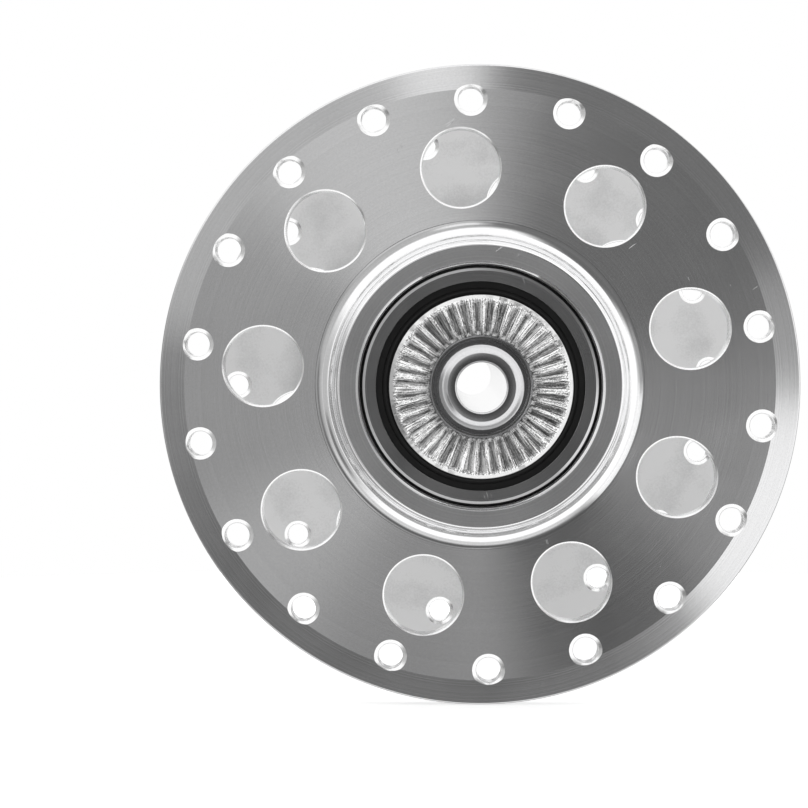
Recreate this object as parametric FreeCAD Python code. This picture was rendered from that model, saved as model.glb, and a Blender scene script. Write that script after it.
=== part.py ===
import FreeCAD, Part
import math
import os

# High flange front hub of a bicycle wheel, in millimetres.
# The axle lies along Y, +Z is up and the origin is the middle of the hub.
# The left half, at +Y, is modelled, and the right half is its mirror image.
# Only the rows of holes differ: the left flange's are turned by half a pitch.

# Widths along the axle, from the outside inwards
OVER_LOCKNUTS = 100.0
AXLE_LENGTH = 108.0
LOCKNUT_WIDTH = 4.5
SPACER_WIDTH = 1.5
BEARING_WIDTH = 8.0
BEARING_RECESS = 0.5

# Axle
AXLE_BORE_D = 5.5
AXLE_BORE_CHAMFER = 0.15
AXLE_END_ROUND_WIDTH = 0.88
AXLE_END_ROUND_LENGTH = 0.9
AXLE_END_ROUND_BULGE = 0.16
THREAD_UNDER_SEAT = 0.05
THREAD_DEPTH = 0.5
THREAD_SHORT_OF_FACE = 0.7
THREAD_RELIEF = 0.35
SHOULDER_HEIGHT = 1.4

# Hub shell
FLANGE_SPACING = 70.0
FLANGE_THICKNESS = 3.4
BEVEL_WIDTH = 2.75
BEVEL_DEPTH = 0.6
BACK_CHAMFER = 0.4
BARREL_D = 24.0
BARREL_WALL = 2.0
FLARE_R = 42.0
NECK_WALL = 2.0
BACK_FILLET_R = 2.6
BOSS_WALL = 2.6
BOSS_EDGE_R = 1.08
BOSS_EDGE_TURN = 60.0
FACE_FILLET_R = 2.65
FACE_FILLET_STOP = 6.0
MOUTH_CHAMFER = 0.22

# Spoke holes and lightening holes
SPOKE_CIRCLE_D = 62.3
SPOKE_TO_RIM = 3.85
SPOKE_HOLE_D = 2.7
SPOKE_SINK = 0.45
SPOKES_PER_FLANGE = 18
SPOKE_START = 11.8
WEB_BETWEEN_ROWS = 1.13
LIGHTENING_D = 8.6
LIGHTENING_CHAMFER = 0.17
LIGHTENING_COUNT = 9
LIGHTENING_START = 15.0

# Bearing, 10 x 26 x 8
BEARING_BORE_D = 10.0
BEARING_D = 26.0
RING_CHAMFER = 0.3
BALL_D = 4.762
BALL_COUNT = 7
BALL_PLAY = 0.05
RACEWAY_OVER_BALL = 0.095
LAND_FROM_PITCH = 1.6
SEAL_RECESS_DEPTH = 0.85
SEAL_LIP_HEIGHT = 0.275
SEAL_LIP_WIDTH = 0.15
SEAL_INSET = 0.2
SEAL_THICKNESS = 0.6
SEAL_PANEL_DEPTH = 0.12
SEAL_PANEL_MARGIN = 0.8

# Bearing cage: two stamped halves, riveted together between the balls
CAGE_THICKNESS = 0.4
CAGE_TO_INNER_LAND = 0.35
CAGE_TO_OUTER_LAND = 0.4
RIVET_D = 0.8
RIVET_HEAD_D = 1.4
RIVET_HEAD_HEIGHT = 0.3

# Spacer, and locknut with a serrated face and two flats for a spanner
SPACER_D = 13.5
LOCKNUT_D = 19.3
ACROSS_FLATS = 17.0
SERRATED_WIDTH = 2.2
LOCKNUT_EDGE_R = 0.42
GROOVE_TO_EDGE = 0.05
LOCKNUT_SINK = 0.65
GROOVE_COUNT = 39
GROOVE_START = 10.77
GROOVE_WIDTH = 0.86
GROOVE_DEPTH = 0.42
EDGE_CHAMFER = 0.25

# Clearances, and how far a cutter runs past what it cuts
SEAT_PLAY = 0.01
THREAD_PLAY = 0.05
SEAL_SEAT_PLAY = 0.03
SEAL_LIP_PLAY = 0.1
POCKET_PLAY = 0.1
CAGE_SEAL_GAP = 0.3
RIVET_PLAY = 0.02
CUT_PAST = 1.0
JOIN_TOLERANCE = 1e-6

# Places along the axle
face_y = OVER_LOCKNUTS / 2
axle_end_y = AXLE_LENGTH / 2
locknut_y = face_y - LOCKNUT_WIDTH
serrated_y = face_y - SERRATED_WIDTH
bearing_out_y = locknut_y - SPACER_WIDTH
bearing_in_y = bearing_out_y - BEARING_WIDTH
bearing_mid_y = (bearing_out_y + bearing_in_y) / 2
shell_end_y = bearing_out_y + BEARING_RECESS
flange_back_y = (FLANGE_SPACING - FLANGE_THICKNESS) / 2
flange_face_y = (FLANGE_SPACING + FLANGE_THICKNESS) / 2

# Radii about the axle
axle_bore_r = AXLE_BORE_D / 2
seat_r = BEARING_BORE_D / 2 - SEAT_PLAY
thread_r = BEARING_BORE_D / 2 - THREAD_UNDER_SEAT
stub_r = thread_r - THREAD_DEPTH
shoulder_r = seat_r + SHOULDER_HEIGHT
nut_bore_r = thread_r + THREAD_PLAY
bearing_r = BEARING_D / 2
pocket_r = bearing_r + SEAT_PLAY
boss_r = bearing_r + BOSS_WALL
barrel_r = BARREL_D / 2
neck_r = bearing_r + NECK_WALL
spoke_circle_r = SPOKE_CIRCLE_D / 2
flange_r = spoke_circle_r + SPOKE_TO_RIM
spoke_sink_r = SPOKE_HOLE_D / 2 + SPOKE_SINK
lightening_edge_r = LIGHTENING_D / 2 + LIGHTENING_CHAMFER
lightening_circle_r = spoke_circle_r - spoke_sink_r - WEB_BETWEEN_ROWS - lightening_edge_r

# Radii inside a bearing, and reaches from its middle plane
pitch_r = (BEARING_BORE_D + BEARING_D) / 4
ball_r = BALL_D / 2
inner_land_r = pitch_r - LAND_FROM_PITCH
outer_land_r = pitch_r + LAND_FROM_PITCH
seal_recess_r = outer_land_r + SEAL_RECESS_DEPTH
half_width = BEARING_WIDTH / 2
seal_outer_reach = half_width - SEAL_INSET
seal_inner_reach = seal_outer_reach - SEAL_THICKNESS

AXIS = FreeCAD.Vector(0, 1, 0)
ORIGIN = FreeCAD.Vector(0, 0, 0)
FULL_TURN = 360.0


def spot(r, y):
    """A point of a profile, at radius r from the middle line of the axle."""
    return FreeCAD.Vector(r, y, 0)


def arc(centre_r, centre_y, radius, start, end):
    """Three points of an arc. Angles are in degrees, from straight outwards towards +Y."""
    turns = [math.radians(a) for a in (start, (start + end) / 2, end)]
    return [spot(centre_r + radius * math.cos(a), centre_y + radius * math.sin(a)) for a in turns]


def turned(*path):
    """Turn a closed profile about the axle. Its points and arcs are joined by straight lines."""
    steps = [step if isinstance(step, list) else [step] for step in path]
    edges = []
    for before, step in zip([steps[-1]] + steps, steps):
        if before[-1].distanceToPoint(step[0]) > JOIN_TOLERANCE:
            edges.append(Part.LineSegment(before[-1], step[0]).toShape())
        if len(step) > 1:
            edges.append(Part.Arc(*step).toShape())
    return Part.Face(Part.Wire(edges)).revolve(ORIGIN, AXIS, FULL_TURN)


def ring(inner_r, outer_r, y_low, y_high, chamfer=0.0):
    """A plain turned ring, with its two outer edges chamfered."""
    return turned(
        spot(inner_r, y_low),
        spot(outer_r - chamfer, y_low),
        spot(outer_r, y_low + chamfer),
        spot(outer_r, y_high - chamfer),
        spot(outer_r - chamfer, y_high),
        spot(inner_r, y_high),
    )


def around(shape, count, start):
    """Copies of a shape about the axle. Angles are in degrees, from +X towards +Z."""
    copies = []
    for k in range(count):
        copy = shape.copy()
        copy.rotate(ORIGIN, AXIS, -(start + k * FULL_TURN / count))
        copies.append(copy)
    return copies


def mirrored(shape):
    return shape.mirror(ORIGIN, AXIS)


def drill(circle_r, hole_r, chamfer):
    """A cutter for one hole through the left flange, with a chamfer at both faces."""
    middle_y = (flange_back_y + flange_face_y) / 2
    reach = FLANGE_THICKNESS / 2
    cone_reach = hole_r + chamfer + CUT_PAST
    place = FreeCAD.Vector(circle_r, middle_y, 0)
    cutter = Part.makeCylinder(hole_r, 2 * (reach + CUT_PAST), place - AXIS * (reach + CUT_PAST), AXIS)
    for way in (-1, 1):
        base = place + AXIS * (way * (reach - chamfer))
        cone = Part.makeCone(hole_r, cone_reach, chamfer + CUT_PAST, base, AXIS * way)
        cutter = cutter.fuse(cone)
    return cutter


def hub_shell():
    """Two flanges, the barrel between them and a boss with a bearing pocket at each end."""
    flare = math.degrees(math.acos(1 - (neck_r - barrel_r) / FLARE_R))
    rise = math.radians(flare)
    neck_y = flange_back_y - BACK_FILLET_R * (1 - math.sin(rise))
    edge_y = shell_end_y - BOSS_EDGE_R * math.sin(math.radians(BOSS_EDGE_TURN))
    fillet_y = flange_face_y + FACE_FILLET_R * math.cos(math.radians(FACE_FILLET_STOP))
    half = turned(
        spot(barrel_r - BARREL_WALL, 0),
        spot(barrel_r - BARREL_WALL, bearing_in_y),
        spot(pocket_r, bearing_in_y),
        spot(pocket_r, shell_end_y - MOUTH_CHAMFER),
        spot(pocket_r + MOUTH_CHAMFER, shell_end_y),
        arc(boss_r - BOSS_EDGE_R, edge_y, BOSS_EDGE_R, BOSS_EDGE_TURN, 0),
        arc(boss_r + FACE_FILLET_R, fillet_y, FACE_FILLET_R, 180, 270 - FACE_FILLET_STOP),
        spot(flange_r - BEVEL_WIDTH, flange_face_y),
        spot(flange_r, flange_face_y - BEVEL_DEPTH),
        spot(flange_r, flange_back_y + BACK_CHAMFER),
        spot(flange_r - BACK_CHAMFER, flange_back_y),
        arc(neck_r + BACK_FILLET_R * math.cos(rise), flange_back_y - BACK_FILLET_R, BACK_FILLET_R, 90, 180 - flare),
        arc(neck_r + FLARE_R * math.cos(rise), neck_y - FLARE_R * math.sin(rise), FLARE_R, 180 - flare, 180),
        spot(barrel_r, 0),
    )
    shell = half.fuse(mirrored(half)).removeSplitter()
    spoke_hole = drill(spoke_circle_r, SPOKE_HOLE_D / 2, SPOKE_SINK)
    lightening_hole = drill(lightening_circle_r, LIGHTENING_D / 2, LIGHTENING_CHAMFER)
    half_spoke_pitch = FULL_TURN / SPOKES_PER_FLANGE / 2
    half_lightening_pitch = FULL_TURN / LIGHTENING_COUNT / 2
    left = around(spoke_hole, SPOKES_PER_FLANGE, SPOKE_START + half_spoke_pitch)
    left += around(lightening_hole, LIGHTENING_COUNT, LIGHTENING_START + half_lightening_pitch)
    right = around(mirrored(spoke_hole), SPOKES_PER_FLANGE, SPOKE_START)
    right += around(mirrored(lightening_hole), LIGHTENING_COUNT, LIGHTENING_START)
    return shell.cut(Part.makeCompound(left + right))


def axle():
    """Hollow axle: thick in the middle, then bearing seats, threads and the stubs that the fork holds."""
    thread_end_y = face_y - THREAD_SHORT_OF_FACE
    round_y = axle_end_y - AXLE_END_ROUND_LENGTH
    round_middle_r = stub_r - AXLE_END_ROUND_WIDTH / 2 + AXLE_END_ROUND_BULGE
    round_middle_y = axle_end_y - AXLE_END_ROUND_LENGTH / 2 + AXLE_END_ROUND_BULGE
    end_round = [
        spot(stub_r, round_y),
        spot(round_middle_r, round_middle_y),
        spot(stub_r - AXLE_END_ROUND_WIDTH, axle_end_y),
    ]
    half = turned(
        spot(axle_bore_r, 0),
        spot(shoulder_r, 0),
        spot(shoulder_r, bearing_in_y),
        spot(seat_r, bearing_in_y),
        spot(seat_r, bearing_out_y),
        spot(thread_r, bearing_out_y + THREAD_UNDER_SEAT),
        spot(thread_r, thread_end_y - THREAD_DEPTH),
        spot(stub_r - THREAD_RELIEF, thread_end_y),
        spot(stub_r - THREAD_RELIEF, face_y - THREAD_RELIEF),
        spot(stub_r, face_y),
        end_round,
        spot(axle_bore_r + AXLE_BORE_CHAMFER, axle_end_y),
        spot(axle_bore_r, axle_end_y - AXLE_BORE_CHAMFER),
    )
    return half.fuse(mirrored(half)).removeSplitter()


def locknut():
    """Locknut of the left side. Radial grooves in its face bite into the fork end."""
    body = turned(
        spot(nut_bore_r, locknut_y),
        spot(LOCKNUT_D / 2 - EDGE_CHAMFER, locknut_y),
        spot(LOCKNUT_D / 2, locknut_y + EDGE_CHAMFER),
        arc(LOCKNUT_D / 2 - LOCKNUT_EDGE_R, face_y - LOCKNUT_EDGE_R, LOCKNUT_EDGE_R, 0, 90),
        spot(nut_bore_r + LOCKNUT_SINK, face_y),
        spot(nut_bore_r, face_y - LOCKNUT_SINK),
    )
    groove_end_r = LOCKNUT_D / 2 - LOCKNUT_EDGE_R - GROOVE_TO_EDGE - GROOVE_WIDTH / 2
    bottom = FreeCAD.Vector(0, face_y - GROOVE_DEPTH, 0)
    half_width_at_top = GROOVE_WIDTH / 2
    lip = FreeCAD.Vector(0, face_y, half_width_at_top)
    other_lip = FreeCAD.Vector(0, face_y, -half_width_at_top)
    blade = Part.Face(Part.makePolygon([bottom, lip, other_lip, bottom]))
    blade = blade.extrude(FreeCAD.Vector(groove_end_r, 0, 0))
    tip = Part.makeCone(0, half_width_at_top, GROOVE_DEPTH, bottom + FreeCAD.Vector(groove_end_r, 0, 0), AXIS)
    body = body.cut(Part.makeCompound(around(blade.fuse(tip), GROOVE_COUNT, GROOVE_START)))
    side = LOCKNUT_D
    for way in (-1, 1):
        low_z = ACROSS_FLATS / 2 if way > 0 else -ACROSS_FLATS / 2 - side
        corner = FreeCAD.Vector(-side / 2, locknut_y - CUT_PAST, low_z)
        body = body.cut(Part.makeBox(side, serrated_y - locknut_y + CUT_PAST, side, corner))
    return body


def outer_ring():
    """Bearing outer ring, with the raceway and a recess for a seal on each side."""
    blank = ring(outer_land_r, bearing_r, bearing_in_y, bearing_out_y, RING_CHAMFER)
    lip_r = seal_recess_r - SEAL_LIP_HEIGHT
    cuts = [raceway(pitch_r + BALL_PLAY - RACEWAY_OVER_BALL)]
    for way in (-1, 1):
        inside = bearing_mid_y + way * (seal_inner_reach - SEAL_SEAT_PLAY)
        lip = bearing_mid_y + way * (half_width - SEAL_LIP_WIDTH)
        past = bearing_mid_y + way * (half_width + CUT_PAST)
        cuts.append(ring(pitch_r, seal_recess_r, min(inside, lip), max(inside, lip)))
        cuts.append(ring(pitch_r, lip_r, min(lip, past), max(lip, past)))
    return blank.cut(Part.makeCompound(cuts))


def inner_ring():
    """Bearing inner ring, chamfered at its bore, with the raceway."""
    bore_r = BEARING_BORE_D / 2
    blank = turned(
        spot(bore_r, bearing_in_y + RING_CHAMFER),
        spot(bore_r + RING_CHAMFER, bearing_in_y),
        spot(inner_land_r, bearing_in_y),
        spot(inner_land_r, bearing_out_y),
        spot(bore_r + RING_CHAMFER, bearing_out_y),
        spot(bore_r, bearing_out_y - RING_CHAMFER),
    )
    return blank.cut(raceway(pitch_r - BALL_PLAY + RACEWAY_OVER_BALL))


def raceway(circle_r):
    """A cutter for the groove in which the balls run."""
    return Part.makeTorus(circle_r, ball_r + RACEWAY_OVER_BALL, FreeCAD.Vector(0, bearing_mid_y, 0), AXIS)


def balls():
    ball = Part.makeSphere(ball_r, FreeCAD.Vector(pitch_r, bearing_mid_y, 0))
    return Part.makeCompound(around(ball, BALL_COUNT, 0))


def cage_half(way):
    """One stamped half of the cage: a flat band, domed over each ball, on the side that way points to."""
    band_inner_r = inner_land_r + CAGE_TO_INNER_LAND
    band_outer_r = outer_land_r - CAGE_TO_OUTER_LAND
    dome_r = ball_r + POCKET_PLAY + CAGE_THICKNESS
    reach = seal_inner_reach - CAGE_SEAL_GAP
    band = ring(band_inner_r, band_outer_r, 0, CAGE_THICKNESS)
    space = ring(band_inner_r, band_outer_r, 0, reach)
    place = FreeCAD.Vector(pitch_r, 0, 0)
    domes = Part.makeCompound(around(Part.makeSphere(dome_r, place), BALL_COUNT, 0))
    pockets = around(Part.makeSphere(ball_r + POCKET_PLAY, place), BALL_COUNT, 0)
    half = band.fuse(domes.common(space)).removeSplitter()
    rivet_hole_r = RIVET_D / 2 + RIVET_PLAY
    rivet_hole = Part.makeCylinder(rivet_hole_r, CAGE_THICKNESS + 2 * CUT_PAST, place - AXIS * CUT_PAST, AXIS)
    half = half.cut(Part.makeCompound(pockets + between_balls(rivet_hole)))
    if way < 0:
        half = mirrored(half)
    half.translate(AXIS * bearing_mid_y)
    return half


def between_balls(shape):
    return around(shape, BALL_COUNT, FULL_TURN / BALL_COUNT / 2)


def cage_rivets():
    """Rivets through both halves of the cage, with a flat head at each end."""
    grip = 2 * CAGE_THICKNESS
    place = FreeCAD.Vector(pitch_r, bearing_mid_y - CAGE_THICKNESS, 0)
    shank = Part.makeCylinder(RIVET_D / 2, grip, place, AXIS)
    low_head = Part.makeCylinder(RIVET_HEAD_D / 2, RIVET_HEAD_HEIGHT, place - AXIS * RIVET_HEAD_HEIGHT, AXIS)
    high_head = Part.makeCylinder(RIVET_HEAD_D / 2, RIVET_HEAD_HEIGHT, place + AXIS * grip, AXIS)
    rivet = shank.fuse([low_head, high_head]).removeSplitter()
    return Part.makeCompound(between_balls(rivet))


def seal(way):
    """Rubber seal, held in the outer ring's recess. Its panel is sunk, and its lip just clears the inner ring."""
    lip_r = inner_land_r + SEAL_LIP_PLAY
    outer_r = seal_recess_r - SEAL_SEAT_PLAY
    visible_r = seal_recess_r - SEAL_LIP_HEIGHT - SEAL_SEAT_PLAY
    step_y = half_width - SEAL_LIP_WIDTH - SEAL_SEAT_PLAY
    top_y = min(seal_outer_reach, step_y)
    disc = turned(
        spot(lip_r, seal_inner_reach),
        spot(outer_r, seal_inner_reach),
        spot(outer_r, top_y),
        spot(visible_r, seal_outer_reach),
        spot(visible_r - SEAL_PANEL_MARGIN, seal_outer_reach),
        spot(visible_r - SEAL_PANEL_MARGIN - SEAL_PANEL_DEPTH, seal_outer_reach - SEAL_PANEL_DEPTH),
        spot(lip_r + SEAL_PANEL_MARGIN, seal_outer_reach - SEAL_PANEL_DEPTH),
        spot(lip_r + SEAL_PANEL_MARGIN - SEAL_PANEL_DEPTH, seal_outer_reach),
        spot(lip_r, seal_outer_reach),
    )
    if way < 0:
        disc = mirrored(disc)
    disc.translate(AXIS * bearing_mid_y)
    return disc


def axle_spacer():
    return ring(nut_bore_r, SPACER_D / 2, bearing_out_y, locknut_y, EDGE_CHAMFER)


pieces = {"hub_shell": hub_shell(), "axle": axle()}
left_pieces = {
    "locknut": locknut(),
    "axle_spacer": axle_spacer(),
    "bearing_outer_ring": outer_ring(),
    "bearing_inner_ring": inner_ring(),
    "bearing_balls": balls(),
    "cage_outboard_half": cage_half(1),
    "cage_inboard_half": cage_half(-1),
    "cage_rivets": cage_rivets(),
    "seal_outboard": seal(1),
    "seal_inboard": seal(-1),
}
for name, piece in left_pieces.items():
    pieces[name + "_left"] = piece
    pieces[name + "_right"] = mirrored(piece)

os.makedirs("parts", exist_ok=True)
for name, piece in pieces.items():
    piece.exportStep(os.path.join("parts", name + ".step"))
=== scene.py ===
import math
import random

import bmesh
import bpy
from mathutils import Matrix, Vector


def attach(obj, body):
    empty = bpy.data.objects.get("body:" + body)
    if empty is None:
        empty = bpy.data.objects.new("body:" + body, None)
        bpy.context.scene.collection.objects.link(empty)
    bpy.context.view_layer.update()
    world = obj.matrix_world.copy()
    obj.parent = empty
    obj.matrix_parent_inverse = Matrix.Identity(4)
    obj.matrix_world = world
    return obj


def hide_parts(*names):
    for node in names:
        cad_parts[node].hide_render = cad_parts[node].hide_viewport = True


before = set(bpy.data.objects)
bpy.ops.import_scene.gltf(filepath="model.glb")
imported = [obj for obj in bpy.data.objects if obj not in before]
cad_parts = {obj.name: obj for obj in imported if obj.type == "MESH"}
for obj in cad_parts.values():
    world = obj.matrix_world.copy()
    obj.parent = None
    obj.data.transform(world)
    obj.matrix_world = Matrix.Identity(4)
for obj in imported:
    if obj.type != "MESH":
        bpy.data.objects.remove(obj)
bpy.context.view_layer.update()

# Camera: a long lens, 37 cm from the middle of the hub and in front of its right end, looking
# almost straight along the axle. It stands a few millimetres left of the axle and above it, so
# the far end shows a little to one side through the bore and the large holes.
camera_spot = Vector((-0.0040, -0.3668, 0.0047))
looking_along = Vector((-0.0129, 1.0, -0.0205))
bpy.ops.object.camera_add(location=camera_spot, rotation=looking_along.to_track_quat("-Z", "Y").to_euler())
camera = bpy.context.object
camera.data.lens = 134.9
camera.data.sensor_width = 36
camera.data.clip_start = 0.01
bpy.context.scene.camera = camera
bpy.context.scene.view_settings.view_transform = "Standard"


# Studio: a white room that goes dark round the camera, with soft cards hung in it. The dark end
# gives the flat faces their grey, and the cards give each face its lighter and darker sectors.
# A pale round floor stands under the two flanges, and a soft lamp hangs over it.
class Signal:
    """One output of a shader node, with Python's operators for its maths."""

    def __init__(self, shader, socket):
        self.shader = shader
        self.socket = socket

    def math(self, operation, *values):
        return self.shader.node("ShaderNodeMath", {"operation": operation}, dict(enumerate(values)))

    def __add__(self, other):
        return self.math("ADD", self, other)

    def __radd__(self, other):
        return self.math("ADD", other, self)

    def __sub__(self, other):
        return self.math("SUBTRACT", self, other)

    def __rsub__(self, other):
        return self.math("SUBTRACT", other, self)

    def __mul__(self, other):
        return self.math("MULTIPLY", self, other)

    def __rmul__(self, other):
        return self.math("MULTIPLY", other, self)

    def __truediv__(self, other):
        return self.math("DIVIDE", self, other)

    def __rtruediv__(self, other):
        return self.math("DIVIDE", other, self)

    def __pow__(self, other):
        return self.math("POWER", self, other)

    def above_zero(self):
        """This value, or 0 where it is negative."""
        return self.math("MAXIMUM", self, 0)

    def fade(self, low, high, below=0.0, above=1.0):
        """A soft step from one value to another."""
        inputs = {0: self, 1: low, 2: high, 3: below, 4: above}
        return self.shader.node("ShaderNodeMapRange", {"interpolation_type": "SMOOTHSTEP"}, inputs)

    def mix(self, other, share):
        """This value, with a share of the other in its place."""
        return self * (1 - share) + other * share


class Shader:
    """The nodes of one material or of the world."""

    def __init__(self, owner):
        owner.use_nodes = True
        self.tree = owner.node_tree
        self.tree.nodes.clear()

    def node(self, kind, settings=None, inputs=None, output=0):
        """Add a node. Its settings come first, then the values or links of its sockets."""
        made = self.tree.nodes.new(kind)
        for name, value in (settings or {}).items():
            if name == "stops":
                stops = made.color_ramp.elements
                while len(stops) < len(value):
                    stops.new(1)
                for stop, (position, level) in zip(stops, value):
                    stop.position = position
                    stop.color = (level, level, level, 1)
            else:
                setattr(made, name, value)
        for key, value in (inputs or {}).items():
            if isinstance(value, Signal):
                self.tree.links.new(value.socket, made.inputs[key])
            else:
                made.inputs[key].default_value = value
        return Signal(self, made.outputs[output]) if made.outputs else None

    def split(self, vector):
        """The three numbers of a vector."""
        return [self.node("ShaderNodeSeparateXYZ", inputs={0: vector}, output=axis) for axis in range(3)]


world = bpy.data.worlds.new("room")
bpy.context.scene.world = world
room = Shader(world)
toward = room.node("ShaderNodeTexCoord", output="Generated")
to_right, to_left_end, upwards = room.split(toward)
off_camera = (to_left_end * -1).math("ARCCOSINE", to_left_end * -1) * (180 / math.pi)
never_zero = 0.0001
sideways = (to_right * to_right + upwards * upwards) ** 0.5 + never_zero
room_levels = [
    (0, 0.02), (3, 0.03), (7, 0.10), (12, 0.15), (28, 0.13), (33, 0.32), (38, 0.42), (46, 0.5),
    (51, 0.8), (56, 1.1), (82, 1.1), (90, 1.0), (180, 1.0),
]
stops = [(angle / 180, tone) for angle, tone in room_levels]
level = room.node("ShaderNodeValToRGB", {"stops": stops}, {0: off_camera / 180})


def card(level, tone, azimuth, half_width, near, far, soft_azimuth):
    """Hang a card. Azimuth runs from +X towards +Z, and near and far are degrees off the camera's line."""
    soft_edge = 3
    turn = math.radians(azimuth)
    along = (to_right * math.cos(turn) + upwards * math.sin(turn)) / sideways
    edge = math.cos(math.radians(half_width + soft_azimuth))
    core = math.cos(math.radians(max(half_width - soft_azimuth, 0)))
    mask = along.fade(edge, core) * off_camera.fade(near - soft_edge, near + soft_edge)
    mask = mask * off_camera.fade(far - soft_edge, far + soft_edge, 1, 0)
    return level.mix(tone, mask)


# These cards stand nearest to the camera's line, and the right flange's face and bevel mirror them.
level = card(level, 0.59, azimuth=117, half_width=29, near=8, far=26, soft_azimuth=18)
level = card(level, 0.32, azimuth=174, half_width=30, near=8, far=26, soft_azimuth=12)
level = card(level, 0.48, azimuth=225, half_width=16, near=8, far=26, soft_azimuth=8)
level = card(level, 0.28, azimuth=260, half_width=22, near=8, far=24, soft_azimuth=6)
level = card(level, 0.46, azimuth=276, half_width=5, near=8, far=24, soft_azimuth=4)
level = card(level, 0.085, azimuth=300, half_width=19, near=8, far=24, soft_azimuth=10)
level = card(level, 0.23, azimuth=343, half_width=21, near=8, far=22, soft_azimuth=12)
# These stand further out, for the polished hollow and the small bevels and corners.
level = card(level, 0.48, azimuth=130, half_width=42, near=26, far=50, soft_azimuth=6)
level = card(level, 0.17, azimuth=50, half_width=37, near=24, far=44, soft_azimuth=12)
level = card(level, 0.14, azimuth=47, half_width=16, near=36, far=62, soft_azimuth=16)
level = card(level, 0.12, azimuth=252, half_width=46, near=24, far=34, soft_azimuth=14)
level = card(level, 0.68, azimuth=254, half_width=50, near=38, far=54, soft_azimuth=8)
level = card(level, 0.9, azimuth=96, half_width=8, near=26, far=37, soft_azimuth=3)
level = card(level, 1.0, azimuth=337, half_width=22, near=24, far=52, soft_azimuth=5)
level = card(level, 0.35, azimuth=8, half_width=10, near=26, far=40, soft_azimuth=6)
level = card(level, 0.5, azimuth=190, half_width=32, near=50, far=80, soft_azimuth=14)
level = card(level, 0.18, azimuth=205, half_width=9, near=52, far=66, soft_azimuth=8)
# These stand beside the hub and behind it, for the barrel and the sides of the flanges that face it.
level = card(level, 0.3, azimuth=225, half_width=42, near=84, far=100, soft_azimuth=10)
level = card(level, 0.4, azimuth=288, half_width=52, near=82, far=102, soft_azimuth=20)
level = card(level, 0.32, azimuth=196, half_width=36, near=86, far=176, soft_azimuth=14)
level = card(level, 0.55, azimuth=272, half_width=34, near=94, far=150, soft_azimuth=20)
level = card(level, 0.55, azimuth=336, half_width=26, near=116, far=165, soft_azimuth=20)
level = card(level, 0.6, azimuth=0, half_width=12, near=106, far=150, soft_azimuth=12)
seen = room.node("ShaderNodeLightPath", output="Is Camera Ray")
level = level.mix(1.0, seen)
glow = room.node("ShaderNodeBackground", inputs={"Color": level})
room.node("ShaderNodeOutputWorld", inputs={"Surface": glow})

floor_z = -0.035
floor_radius = 0.16
bpy.ops.object.select_all(action="DESELECT")
bpy.ops.mesh.primitive_circle_add(vertices=128, radius=floor_radius, fill_type="NGON",
                                  location=(0, 0, floor_z))
floor = bpy.context.object
floor.name = "studio_floor"
paper_material = bpy.data.materials.new("studio_paper")
paper = Shader(paper_material)
matt = paper.node("ShaderNodeBsdfDiffuse", inputs={"Color": (0.85, 0.85, 0.85, 1)})
seen = paper.node("ShaderNodeLightPath", output="Is Camera Ray")
shine = paper.node("ShaderNodeEmission", inputs={"Strength": seen * 0.52})
both = paper.node("ShaderNodeAddShader", inputs={0: matt, 1: shine})
paper.node("ShaderNodeOutputMaterial", inputs={"Surface": both})
floor.data.materials.append(paper_material)
floor.visible_glossy = False

bpy.ops.object.light_add(type="AREA", location=(-0.05, -0.05, 0.5))
lamp = bpy.context.object
lamp.data.size = 0.4
lamp.data.energy = 0.4
lamp.visible_glossy = False


# Hub shell: one aluminium turning, with a high flange and a bearing pocket at each end of a thin
# barrel. Its faces are turned and left satin, the hollow between boss and flange is polished, and
# each flange is drilled with 18 sunk spoke holes and 9 larger holes that only make it lighter.
mm = 0.001
shell_grey = (0.88, 0.88, 0.885, 1)
flange_r = 35
flange_face, flange_back = 36.7, 33.3
bevel_r = 32.25
boss_r, boss_end = 15.6, 44.5
boss_corner_r, hollow_r = 1.08, 2.65
back_hollow_r, flare_r = 2.6, 42
barrel_r, barrel_bore_r = 12, 10
pocket_r, pocket_floor = 13.01, 36
mouth_r, mouth_y = 13.32, 44.32


def bend(centre, radius, start, end, steps):
    """Points of an arc in a profile. Angles are in degrees, from straight outwards towards +Y."""
    turns = [math.radians(start + (end - start) * step / steps) for step in range(steps + 1)]
    return [(centre[0] + radius * math.cos(turn), centre[1] + radius * math.sin(turn)) for turn in turns]


def pick(piece, test):
    """In edit mode, select only the vertices that pass the test, and the edges and faces between them."""
    mesh = bmesh.from_edit_mesh(piece.data)
    for vertex in mesh.verts:
        vertex.select = bool(test(vertex))
    mesh.select_flush(True)
    mesh.select_flush(False)
    bmesh.update_edit_mesh(piece.data)


def is_corner(vertex):
    """Does the profile turn by more than 25 degrees at this vertex?"""
    if len(vertex.link_edges) != 2:
        return False
    before, after = [(edge.other_vert(vertex).co - vertex.co) for edge in vertex.link_edges]
    return before.angle(after) < math.radians(180 - 25)


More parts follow.
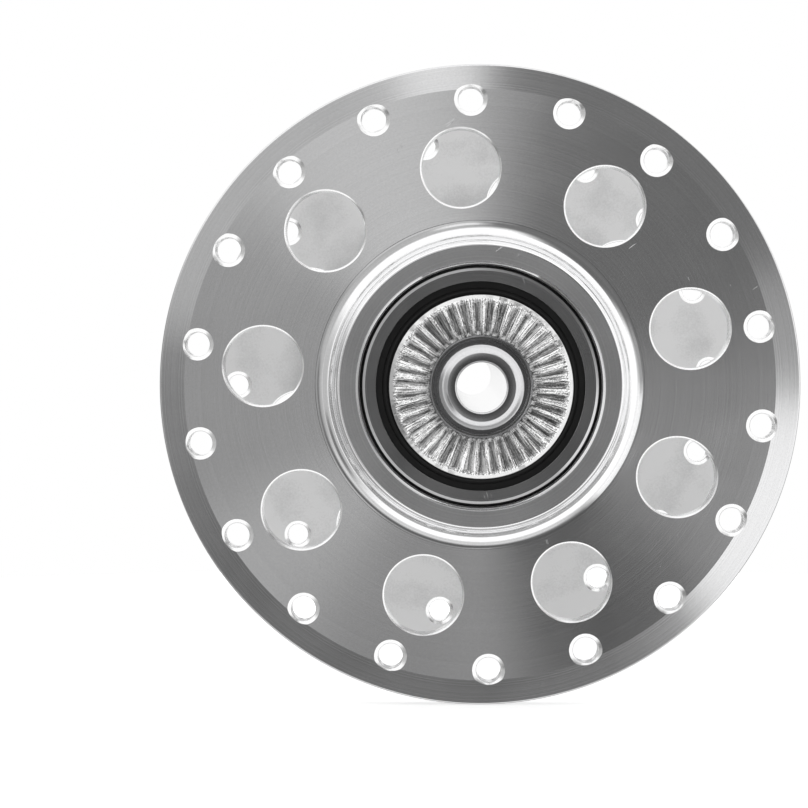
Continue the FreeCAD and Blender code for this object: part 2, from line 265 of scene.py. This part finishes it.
def turned(name, profile, steps, edge_break=0.06):
    """Draw a closed profile of (radius, y) points in mm, break its corners and spin it about the axle."""
    same_spot = 0.002
    bpy.ops.object.select_all(action="DESELECT")
    bpy.ops.mesh.primitive_plane_add(size=mm)
    piece = bpy.context.object
    piece.name = name
    piece.data.name = name
    bpy.ops.object.mode_set(mode="EDIT")
    bpy.ops.mesh.merge(type="CENTER")
    bpy.ops.transform.translate(value=(profile[0][0] * mm, profile[0][1] * mm, 0))
    for before, after in zip(profile, profile[1:] + profile[:1]):
        step = ((after[0] - before[0]) * mm, (after[1] - before[1]) * mm, 0)
        bpy.ops.mesh.extrude_region_move(TRANSFORM_OT_translate={"value": step})
    bpy.ops.mesh.select_all(action="SELECT")
    bpy.ops.mesh.remove_doubles(threshold=same_spot * mm)
    pick(piece, is_corner)
    bpy.ops.mesh.bevel(offset=edge_break * mm, segments=2, affect="VERTICES")
    bpy.ops.mesh.select_all(action="SELECT")
    bpy.ops.mesh.spin(steps=steps, angle=2 * math.pi, center=(0, 0, 0), axis=(0, 1, 0))
    bpy.ops.mesh.select_all(action="SELECT")
    bpy.ops.mesh.remove_doubles(threshold=same_spot * mm)
    bpy.ops.mesh.normals_make_consistent(inside=False)
    bpy.ops.object.mode_set(mode="OBJECT")
    return piece


def axle_distance(point):
    """How far a point is from the axle's middle line, in mm."""
    return math.hypot(point.x, point.z) / mm


def use_only(piece):
    bpy.ops.object.select_all(action="DESELECT")
    piece.select_set(True)
    bpy.context.view_layer.objects.active = piece


def cut_away(piece, cutter):
    """Cut one solid from another and delete the cutter. The cut takes the cutter's material number."""
    use_only(piece)
    cut = piece.modifiers.new("cut", "BOOLEAN")
    cut.operation = "DIFFERENCE"
    cut.solver = "EXACT"
    cut.object = cutter
    bpy.ops.object.modifier_apply(modifier=cut.name)
    bpy.data.objects.remove(cutter)


def smooth(piece):
    """Smooth shading over turns of up to 9 degrees, with the large faces kept flat."""
    use_only(piece)
    bpy.ops.object.shade_smooth_by_angle(angle=math.radians(9))
    weighted = piece.modifiers.new("weighted", "WEIGHTED_NORMAL")
    weighted.keep_sharp = True
    weighted.thresh = 0
    bpy.ops.object.modifier_apply(modifier=weighted.name)


class Finish(Shader):
    """A material of the hub: one Principled shader, and the place of each point in millimetres."""

    def __init__(self, name, constants):
        self.material = bpy.data.materials.new(name)
        super().__init__(self.material)
        self.skin = self.tree.nodes.new("ShaderNodeBsdfPrincipled")
        for socket, value in constants.items():
            self.skin.inputs[socket].default_value = value
        self.node("ShaderNodeOutputMaterial", inputs={"Surface": Signal(self, self.skin.outputs[0])})
        self.place = self.node("ShaderNodeTexCoord", output="Object")
        self.x, self.y, self.z = [part / mm for part in self.split(self.place)]
        self.radius = (self.x * self.x + self.z * self.z) ** 0.5

    def clouds(self, size, detail=2.0):
        """Noise with patches of this size in millimetres, from -0.5 to 0.5."""
        inputs = {"Vector": self.place, "Scale": 1 / (size * mm), "Detail": detail}
        return self.node("ShaderNodeTexNoise", inputs=inputs) - 0.5

    def lathe_lines(self, width, detail=2.0):
        """Lines that run round the axle, on faces and cylinders alike, from -0.5 to 0.5."""
        inputs = {"W": self.radius + self.y * 0.83, "Scale": 1 / width, "Detail": detail}
        return self.node("ShaderNodeTexNoise", {"noise_dimensions": "1D"}, inputs) - 0.5

    def ribs(self, width, length, detail=2.0):
        """Noise drawn out along the radius, from -0.5 to 0.5. Its sizes are in mm, 7.5 mm from the axle."""
        turn = self.z.math("ARCTAN2", self.z, self.x)
        along = self.node("ShaderNodeCombineXYZ", inputs={0: turn * (7.5 / width), 1: self.radius / length})
        inputs = {"Vector": along, "Scale": 1.0, "Detail": detail}
        return self.node("ShaderNodeTexNoise", inputs=inputs) - 0.5

    def scratches(self, width, turn):
        """A few straight scratches across the faces, all about one way, from 0 to 1."""
        inputs = {"Vector": self.place, "Rotation": (0, math.radians(turn), 0)}
        drawn_out = self.node("ShaderNodeMapping", inputs=inputs)
        drawn_out = self.node("ShaderNodeMapping", inputs={"Vector": drawn_out, "Scale": (0.03, 1, 1)})
        inputs = {"Vector": drawn_out, "Scale": 1 / (width * mm), "Detail": 0.0}
        lines = self.node("ShaderNodeTexNoise", inputs=inputs).fade(0.76, 0.84)
        return lines * self.clouds(4 + 0.02 * turn, 1).fade(0.2, 0.25)

    def nicks(self, size):
        """A few small dents, from 0 to 1."""
        return self.clouds(size, 1).fade(0.31, 0.36) * self.clouds(5, 1).fade(0.05, 0.15)

    def tone(self, colour, level):
        """Feed the base colour: one colour, lighter and darker by a level about 1."""
        white = self.node("ShaderNodeCombineXYZ", inputs={0: level, 1: level, 2: level})
        settings = {"data_type": "RGBA", "blend_type": "MULTIPLY"}
        shaded = self.node("ShaderNodeMix", settings, {0: 1.0, 6: colour, 7: white}, output=2)
        self.feed("Base Color", shaded)

    def feed(self, socket, signal):
        self.tree.links.new(signal.socket, self.skin.inputs[socket])

    def relief(self, height):
        """Feed the normal with a relief. Its height is in millimetres."""
        bump = self.node("ShaderNodeBump", inputs={"Strength": 1.0, "Distance": 1.0, "Height": height * mm})
        self.feed("Normal", bump)


def turned_metal(name, colour, roughness, line_width=0.16, line_depth=0.0006, lean=0.0, waves=0.0,
                 uneven=0.06, tone_change=0.1, scratches=0.0):
    """Metal as it comes from a lathe: fine lines round the axle, and slightly cloudy."""
    finish = Finish(name, {"Metallic": 1.0})
    lines = finish.lathe_lines(line_width, detail=3)
    wide_lines = finish.lathe_lines(line_width * 7)
    clouds = finish.clouds(6)
    grain = finish.clouds(0.22, 3)
    finish.tone(colour, 1 + (clouds + wide_lines + lines * 2) * tone_change + grain * 0.15)
    finish.feed("Roughness", roughness + clouds * uneven + lines * uneven)
    height = lines * line_depth + finish.radius * -lean
    if scratches:
        height = height + finish.scratches(0.09, 35) * scratches + finish.scratches(0.07, -70) * scratches
        height = height + finish.nicks(0.35) * scratches
    if waves:
        height = height + finish.clouds(3.2, 1) * waves
    finish.relief(height)
    return finish


boss_corner_middle = (boss_r - boss_corner_r, 43.565)
hollow_middle = (boss_r + hollow_r, 39.3355)
back_hollow_middle = (17.414, flange_back - back_hollow_r)
flare_middle = (barrel_r + flare_r, 16.07)
flare_start = 158.2
shell_half = [(barrel_bore_r, 0), (barrel_bore_r, pocket_floor), (pocket_r, pocket_floor)]
shell_half += [(pocket_r, mouth_y), (mouth_r, boss_end)]
shell_half += bend(boss_corner_middle, boss_corner_r, 60, 0, 8)
shell_half += bend(hollow_middle, hollow_r, 180, 264, 21)
shell_half += [(bevel_r, flange_face), (34.88, 36.126), (flange_r, 35.92)]
shell_half += [(flange_r, 33.7), (34.6, flange_back)]
shell_half += bend(back_hollow_middle, back_hollow_r, 90, flare_start, 9)
shell_half += bend(flare_middle, flare_r, flare_start, 180, 6)[1:]
shell_profile = shell_half + [(radius, -y) for radius, y in reversed(shell_half[1:])]
shell = turned("turned_shell", shell_profile, 240)

FLANGE_FACE, BEVEL, POLISHED, END_FACE, BACK, BARREL, HOLE = range(7)
shell_finishes = [
    turned_metal("turned_flange_face", shell_grey, 0.17, lean=0.12, tone_change=0.07, scratches=0.02),
    turned_metal("turned_bevel", shell_grey, 0.15, line_depth=0.0009),
    turned_metal("polished_hollow", (0.95, 0.95, 0.955, 1), 0.1, line_depth=0.0002, waves=0.02,
                 uneven=0.04),
    turned_metal("fine_turned_end", shell_grey, 0.3, line_depth=0.0004, scratches=0.03),
    # The flange backs are paler than the front faces and change tone strongly and slowly: painted light and
    # shade on the far flange where it shows through the holes.
    turned_metal("turned_flange_back", (0.96, 0.96, 0.96, 1), 0.85, line_width=14.0, tone_change=0.3),
    turned_metal("turned_barrel", (0.8, 0.8, 0.805, 1), 0.25, line_width=0.25),
    # The drilled holes are paler than the turned faces, as a painted highlight on the thin bright rings of
    # their chamfers.
    turned_metal("drilled_hole", (0.97, 0.97, 0.97, 1), 0.2, line_width=0.1),
]
for finish in shell_finishes:
    shell.data.materials.append(finish.material)
hair = 0.01
bevel_end_y, flat_start_r, corner_start_r = 36.05, 17.95, 15.02
for face in shell.data.polygons:
    radius = axle_distance(face.center)
    out = abs(face.center.y) / mm
    in_mouth = radius < mouth_r + hair and out > mouth_y - hair
    if radius > bevel_r and out > bevel_end_y:
        face.material_index = BEVEL
    elif radius > flat_start_r and out > flange_face - 0.1:
        face.material_index = FLANGE_FACE
    elif out > flange_face - hair and (radius > corner_start_r or in_mouth):
        face.material_index = POLISHED
    elif out > flange_face - hair:
        face.material_index = END_FACE
    elif radius > back_hollow_middle[0] and out < flange_back + 0.1:
        face.material_index = BACK
    else:
        face.material_index = BARREL

chance = random.Random(7)
flange_thickness = flange_face - flange_back


def drill_bit(steps, segments):
    """A cutter along Y for one hole, from (radius, depth below the face) steps, the same at both faces."""
    past_face = 0.2
    flare = (steps[0][0] - steps[1][0]) / (steps[1][1] - steps[0][1])
    stations = [(steps[0][0] + past_face * flare, -past_face)] + steps
    stations = stations + [(radius, flange_thickness - depth) for radius, depth in reversed(stations)]
    bpy.ops.object.select_all(action="DESELECT")
    bpy.ops.mesh.primitive_circle_add(vertices=segments, radius=stations[0][0] * mm, fill_type="NGON",
                                      rotation=(math.pi / 2, 0, 0))
    bit = bpy.context.object
    bpy.ops.object.transform_apply(location=True, rotation=True, scale=True)
    bpy.ops.object.mode_set(mode="EDIT")
    bpy.ops.mesh.select_all(action="SELECT")
    bpy.ops.transform.translate(value=(0, (stations[0][1] - flange_thickness / 2) * mm, 0))
    for before, after in zip(stations, stations[1:]):
        step = (0, (after[1] - before[1]) * mm, 0)
        bpy.ops.mesh.extrude_region_move(TRANSFORM_OT_translate={"value": step})
        bpy.ops.transform.resize(value=(after[0] / before[0], 1, after[0] / before[0]))
    bpy.ops.mesh.select_all(action="SELECT")
    bpy.ops.mesh.normals_make_consistent(inside=False)
    bpy.ops.object.mode_set(mode="OBJECT")
    return bit


def drill_row(bit, circle_r, count, start, side, unevenness):
    """Place copies of a cutter in a row round one flange, each a little different."""
    flange_middle = side * (flange_face + flange_back) / 2
    bits = []
    for number in range(count):
        copy = bit.copy()
        copy.data = bit.data.copy()
        bpy.context.collection.objects.link(copy)
        to_place = Matrix.Rotation(-math.radians(start + 360 * number / count), 4, "Y")
        distance = circle_r + chance.uniform(-1, 1) * unevenness
        outwards = Matrix.Translation((distance * mm, flange_middle * mm, 0))
        width = 1 + chance.uniform(-1, 1) * unevenness * 0.5
        widened = Matrix.Diagonal((width, 1, width, 1))
        rolled = Matrix.Rotation(chance.uniform(0, 6), 4, "Y")
        copy.data.transform(to_place @ outwards @ widened @ rolled)
        bits.append(copy)
    return bits


# The left flange has its holes half a pitch on from the right one's.
spoke_bit = drill_bit([(1.8, 0), (1.55, 0.15), (1.42, 0.24), (1.35, 0.42)], 48)
lightening_bit = drill_bit([(4.5, 0), (4.34, 0.1), (4.3, 0.22)], 72)
bits = []
for bit, circle_r, count, start, unevenness in (
    (spoke_bit, 31.15, 18, 11.8, 0.05),
    (lightening_bit, 23.75, 9, 15, 0.02),
):
    bits += drill_row(bit, circle_r, count, start, -1, unevenness)
    bits += drill_row(bit, circle_r, count, start + 180 / count, 1, unevenness)
    bpy.data.objects.remove(bit)
use_only(bits[0])
for bit in bits:
    bit.select_set(True)
bpy.ops.object.join()
drills = bpy.context.object
for finish in shell_finishes:
    drills.data.materials.append(finish.material)
for face in drills.data.polygons:
    face.material_index = HOLE
cut_away(shell, drills)
smooth(shell)
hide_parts("hub_shell")
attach(shell, "hub")


# Bearing outer rings: hardened steel, ground all over and pressed into the shell's pockets. Each
# has a groove for the balls and a step at each side that holds the rim of a rubber seal.
ring_steel = (0.75, 0.75, 0.755, 1)
bearing_middle, bearing_face = 40, 44
ball_groove_r = 2.476
shoulder_r, ring_r = 10.6, 13
lip_r, seat_r = 11.175, 11.45
seat_back, seat_front = 43.17, 43.85
corner_start, corner_end = 12.6, 12.93
ring_half = bend((8.955, bearing_middle), ball_groove_r, 0, 48.4, 12)
ring_half += [(shoulder_r, seat_back), (seat_r, seat_back), (seat_r, seat_front), (lip_r, seat_front)]
ring_half += [(lip_r, bearing_face), (12.32, bearing_face), (corner_start, 43.9), (corner_end, 43.6)]
ring_half += [(ring_r, 43.56)]
outer_ring_profile = ring_half + [(radius, 2 * bearing_middle - y) for radius, y in reversed(ring_half[1:])]
ground_finish = turned_metal("ground_ring", ring_steel, 0.2, line_width=0.08, line_depth=0.0003,
                             tone_change=0.2, scratches=0.02)
# The outer corner of each ring is painted near black: painted shade for the shadow in the narrow gap
# between the ring and the shell's pocket.
gap_shade_finish = turned_metal("painted_gap_shade", (0.07, 0.07, 0.07, 1), 0.4, line_width=0.08)
for side, way in (("right", -1), ("left", 1)):
    profile = [(radius, way * y) for radius, y in outer_ring_profile]
    outer_ring = turned("ground_outer_ring_" + side, profile, 192, 0.03)
    outer_ring.data.materials.append(ground_finish.material)
    outer_ring.data.materials.append(gap_shade_finish.material)
    for face in outer_ring.data.polygons:
        face.material_index = int(corner_start < axle_distance(face.center) < corner_end - hair)
    smooth(outer_ring)
    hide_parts("bearing_outer_ring_" + side)
    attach(outer_ring, "hub")


# Inner rings, balls, cages and rivets: the working parts of both bearings, closed in by the seals.
# The rings are ground, the balls polished, and the cages stamped from thin sheet and riveted.
# Their shapes are as the frame has them, so they only get their finishes.
def dress(names, finish):
    for name in names:
        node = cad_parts[name]
        node.data.materials.clear()
        node.data.materials.append(finish.material)


def both_sides(*names):
    return [name + "_" + side for name in names for side in ("right", "left")]


ball_finish = turned_metal("polished_balls", (0.8, 0.8, 0.8, 1), 0.06, line_depth=0, uneven=0.03)
cage_finish = turned_metal("stamped_cage", (0.6, 0.6, 0.59, 1), 0.35, line_width=0.5, line_depth=0,
                           waves=0.004)
rivet_finish = turned_metal("headed_rivets", (0.55, 0.55, 0.55, 1), 0.4, line_depth=0, waves=0.006)
dress(both_sides("bearing_inner_ring"), ground_finish)
dress(both_sides("bearing_balls"), ball_finish)
dress(both_sides("cage_outboard_half", "cage_inboard_half"), cage_finish)
dress(both_sides("cage_rivets"), rivet_finish)


# Bearing seals: discs of black rubber, snapped into the steps of the outer rings. The outer ones
# show round the locknuts, with a sunk panel between moulded ribs. The inner ones are out of sight.
rubber_black = (0.011, 0.011, 0.011, 1)
seal_bore_r, seal_rim_r = 7.5, 11.42
seal_back, seal_front = 43.2, 43.8
seal_panel = 43.68
seal_profile = [(seal_bore_r, seal_back), (seal_rim_r, seal_back), (seal_rim_r, seal_front)]
seal_profile += [(11.145, seal_front), (10.5, seal_front), (10.4, 43.7), (10.2, 43.7), (10.12, 43.75)]
seal_profile += [(9.95, 43.75), (9.87, seal_panel), (8.35, seal_panel), (8.27, 43.78)]
seal_profile += [(seal_bore_r, seal_front)]


def moulded_rubber(name):
    rubber = Finish(name, {"Metallic": 0.0, "Specular IOR Level": 0.35})
    dust = rubber.clouds(0.9, 4)
    rubber.tone(rubber_black, 1 + dust * 0.7)
    rubber.feed("Roughness", 0.42 + rubber.clouds(0.5, 3) * 0.25)
    rubber.relief(rubber.clouds(0.12, 3) * 0.006 + rubber.lathe_lines(0.2) * 0.003)
    return rubber


rubber_finish = moulded_rubber("moulded_rubber")
for side, way in (("right", -1), ("left", 1)):
    seal = turned("moulded_seal_" + side, [(radius, way * y) for radius, y in seal_profile], 160, 0.03)
    seal.data.materials.append(rubber_finish.material)
    smooth(seal)
    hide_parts("seal_outboard_" + side)
    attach(seal, "hub")
dress(both_sides("seal_inboard"), rubber_finish)


# Axle: a steel tube, turned thick between the bearings, ground where they sit and turned down at
# the ends that the fork holds. Its ends are rounded outside and left flat round the bore.
axle_grey = (0.72, 0.72, 0.73, 1)
middle_r, journal_r, thread_r, neck_r, end_r = 6.39, 4.99, 4.95, 4.1, 4.42
nut_face, axle_end = 50, 54
bore_r, dome_r = 2.6, 2.516
dome_middle = (end_r - dome_r * math.cos(math.radians(35)), axle_end - dome_r * math.sin(math.radians(62)))
axle_half = [(middle_r, 0), (middle_r, pocket_floor), (journal_r, pocket_floor)]
axle_half += [(journal_r, bearing_face), (thread_r, 44.05), (thread_r, 49.3), (neck_r, 49.3)]
axle_half += [(neck_r, 49.65), (end_r, nut_face)] + bend(dome_middle, dome_r, 35, 62, 12)
axle_half += [(2.74, axle_end), (bore_r, 53.87)]
axle_profile = axle_half + [(radius, -y) for radius, y in reversed(axle_half[1:])]
axle = turned("turned_axle", axle_profile, 160, 0.03)
axle_finish = turned_metal("turned_axle_steel", axle_grey, 0.16, line_width=0.07, line_depth=0.0005)
bore_finish = turned_metal("drawn_bore", (0.88, 0.88, 0.88, 1), 0.07, line_depth=0.0001, uneven=0.03)
axle.data.materials.append(axle_finish.material)
axle.data.materials.append(bore_finish.material)
for face in axle.data.polygons:
    face.material_index = int(axle_distance(face.center) < bore_r + 0.02)
smooth(axle)
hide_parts("axle")
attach(axle, "axle_assembly")


# Axle spacers: short steel tubes between the locknuts and the bearings' inner rings. They keep
# the locknuts off the seals.
nut_bore_r, nut_back = 5, 45.5
spacer_profile = [(nut_bore_r, bearing_face), (6.5, bearing_face), (6.75, bearing_face + 0.25)]
spacer_profile += [(6.75, nut_back - 0.25), (6.5, nut_back), (nut_bore_r, nut_back)]
spacer_finish = turned_metal("turned_spacer", (0.6, 0.6, 0.6, 1), 0.25, line_width=0.1)
for side, way in (("right", -1), ("left", 1)):
    spacer = turned("turned_spacer_" + side, [(radius, way * y) for radius, y in spacer_profile], 96, 0.03)
    spacer.data.materials.append(spacer_finish.material)
    smooth(spacer)
    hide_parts("axle_spacer_" + side)
    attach(spacer, "axle_assembly")


# Locknuts: turned from steel bar, with two flats for a spanner behind the face. The face is
# rolled with 39 rough grooves that bite into the fork end, and the whole nut is bright plated.
nut_grey = (0.82, 0.82, 0.82, 1)
nut_r, nut_recess = 9.65, 49.35
rim_start, rim_slope, lowest_rim = 8.86, 0.6, 49.6
# A groove is 12 steps wide and its depth is a share of the radius. Its ends are round arches.
grooves, groove_steps, first_step = 39, 12, 2
half_groove, wall_steps = groove_steps // 2, 5.2
depth_share = 0.05
inner_arch, outer_arch, arch_step = 5.85, 8.78, 0.072
groove_rows = [5.4, 5.47, 5.55, 5.65, 5.85, 6.4, 6.9, 7.4, 7.9, 8.4, 8.7, 8.8, 8.88, 8.95, 9.01, 9.07]
groove_rows += [9.12, 9.16, 9.2, 9.28]
nut_profile = [(nut_bore_r, nut_back), (9.4, nut_back), (nut_r, 45.75), (nut_r, 49.5), (9.6, 49.56)]
nut_profile += [(row, nut_face - rim_slope * max(row - rim_start, 0)) for row in reversed(groove_rows)]
nut_profile += [(5.33, 49.9), (5.28, nut_recess), (nut_bore_r, nut_recess)]
nut_finish = turned_metal("plated_nut", nut_grey, 0.16, line_width=0.1, waves=0.004)
groove_finish = Finish("rough_grooves", {"Metallic": 1.0})
scars = groove_finish.ribs(0.17, 2.2, 2)
fine_scars = groove_finish.ribs(0.08, 3.0, 1)
pits = groove_finish.clouds(0.13, 2)
rim_drop = (groove_finish.radius - rim_start).above_zero() * rim_slope
depth = nut_face - groove_finish.y.math("ABSOLUTE", groove_finish.y) - rim_drop
# The rolled face is darkened towards the bottoms of its grooves, as painted shade in the grooves. Its
# colour is paler than the rest of the nut, as a painted highlight on the ridges. The streaks and pits are
# the marks of the rolling.
painted_bottom_shade = (depth + scars * 0.3).fade(0.17, 0.32)
streaked = (scars * 1.1 + fine_scars * 1.3 + pits * 0.9).fade(-0.21, 0.03, 0.24, 1)
# The face is darker towards the inner ends of the grooves, by the bore.
darker_inner_ends = groove_finish.radius.fade(5.4, 6.9, 0.5, 1)
groove_finish.tone((0.98, 0.98, 0.98, 1), streaked * (1 - painted_bottom_shade * 0.38) * darker_inner_ends)
groove_finish.feed("Roughness", 0.1 + pits * 0.1)
groove_finish.relief(scars * 0.05 + fine_scars * 0.02 + pits * 0.02)
nut = turned("plated_locknut_left", nut_profile, grooves * groove_steps, 0.04)
nut.data.materials.append(nut_finish.material)
nut.data.materials.append(groove_finish.material)
for face in nut.data.polygons:
    on_rows = groove_rows[0] - 5 * hair < axle_distance(face.center) < groove_rows[-1] + 2 * hair
    face.material_index = int(face.normal.y > 0.5 and on_rows)


def groove_place(vertex):
    """A vertex's row on the face, its steps from the middle of its groove, and the groove's number."""
    radius = axle_distance(vertex.co)
    row = min(range(len(groove_rows)), key=lambda number: abs(groove_rows[number] - radius))
    if vertex.co.y < lowest_rim * mm or abs(groove_rows[row] - radius) > hair:
        return None
    turn = math.degrees(math.atan2(vertex.co.z, vertex.co.x))
    step = round(turn * grooves * groove_steps / 360) + half_groove - first_step
    return row, abs(step % groove_steps - half_groove), step // groove_steps % grooves


use_only(nut)
bpy.ops.object.mode_set(mode="EDIT")
places = {vertex.index: groove_place(vertex) for vertex in bmesh.from_edit_mesh(nut.data).verts}


def is_at(vertex, row, step):
    place = places[vertex.index]
    return place and place[:2] == (row, step)


def is_inside(vertex, groove):
    place = places[vertex.index]
    return place and place[1] < half_groove - 2 and place[2] == groove


for row, row_radius in enumerate(groove_rows):
    past_arch = max(row_radius - outer_arch, inner_arch - row_radius, 0) / arch_step
    for step in range(half_groove):
        share = min((half_groove - math.hypot(step, past_arch)) / wall_steps, 1)
        if share > 0:
            pick(nut, lambda vertex: is_at(vertex, row, step))
            bpy.ops.transform.translate(value=(0, -depth_share * row_radius * share * mm, 0))
for groove in range(grooves):
    turn = math.radians(360 * (groove + first_step / groove_steps) / grooves)
    aside = chance.uniform(-0.05, 0.05)
    pick(nut, lambda vertex: is_inside(vertex, groove))
    shift = (-aside * math.sin(turn) * mm, chance.uniform(-0.06, 0.03) * mm, aside * math.cos(turn) * mm)
    bpy.ops.transform.translate(value=shift)
pick(nut, lambda vertex: places[vertex.index] is not None)
bpy.ops.transform.vertex_random(offset=0.015 * mm, seed=5)
bpy.ops.object.mode_set(mode="OBJECT")
flat_z, flat_end, block = 8.5, 47.8, 20
for up in (-1, 1):
    block_place = (0, (flat_end - block / 2) * mm, up * (flat_z + block / 2) * mm)
    bpy.ops.object.select_all(action="DESELECT")
    bpy.ops.mesh.primitive_cube_add(size=block * mm, location=block_place)
    cut_away(nut, bpy.context.object)
right_nut = nut.copy()
right_nut.name = "plated_locknut_right"
right_nut.data = nut.data.copy()
bpy.context.collection.objects.link(right_nut)
use_only(right_nut)
bpy.ops.object.mode_set(mode="EDIT")
bpy.ops.mesh.select_all(action="SELECT")
bpy.ops.transform.mirror(constraint_axis=(False, True, False), center_override=(0, 0, 0))
bpy.ops.mesh.normals_make_consistent(inside=False)
bpy.ops.object.mode_set(mode="OBJECT")
for side, piece in (("left", nut), ("right", right_nut)):
    smooth(piece)
    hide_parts("locknut_" + side)
    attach(piece, "axle_assembly")
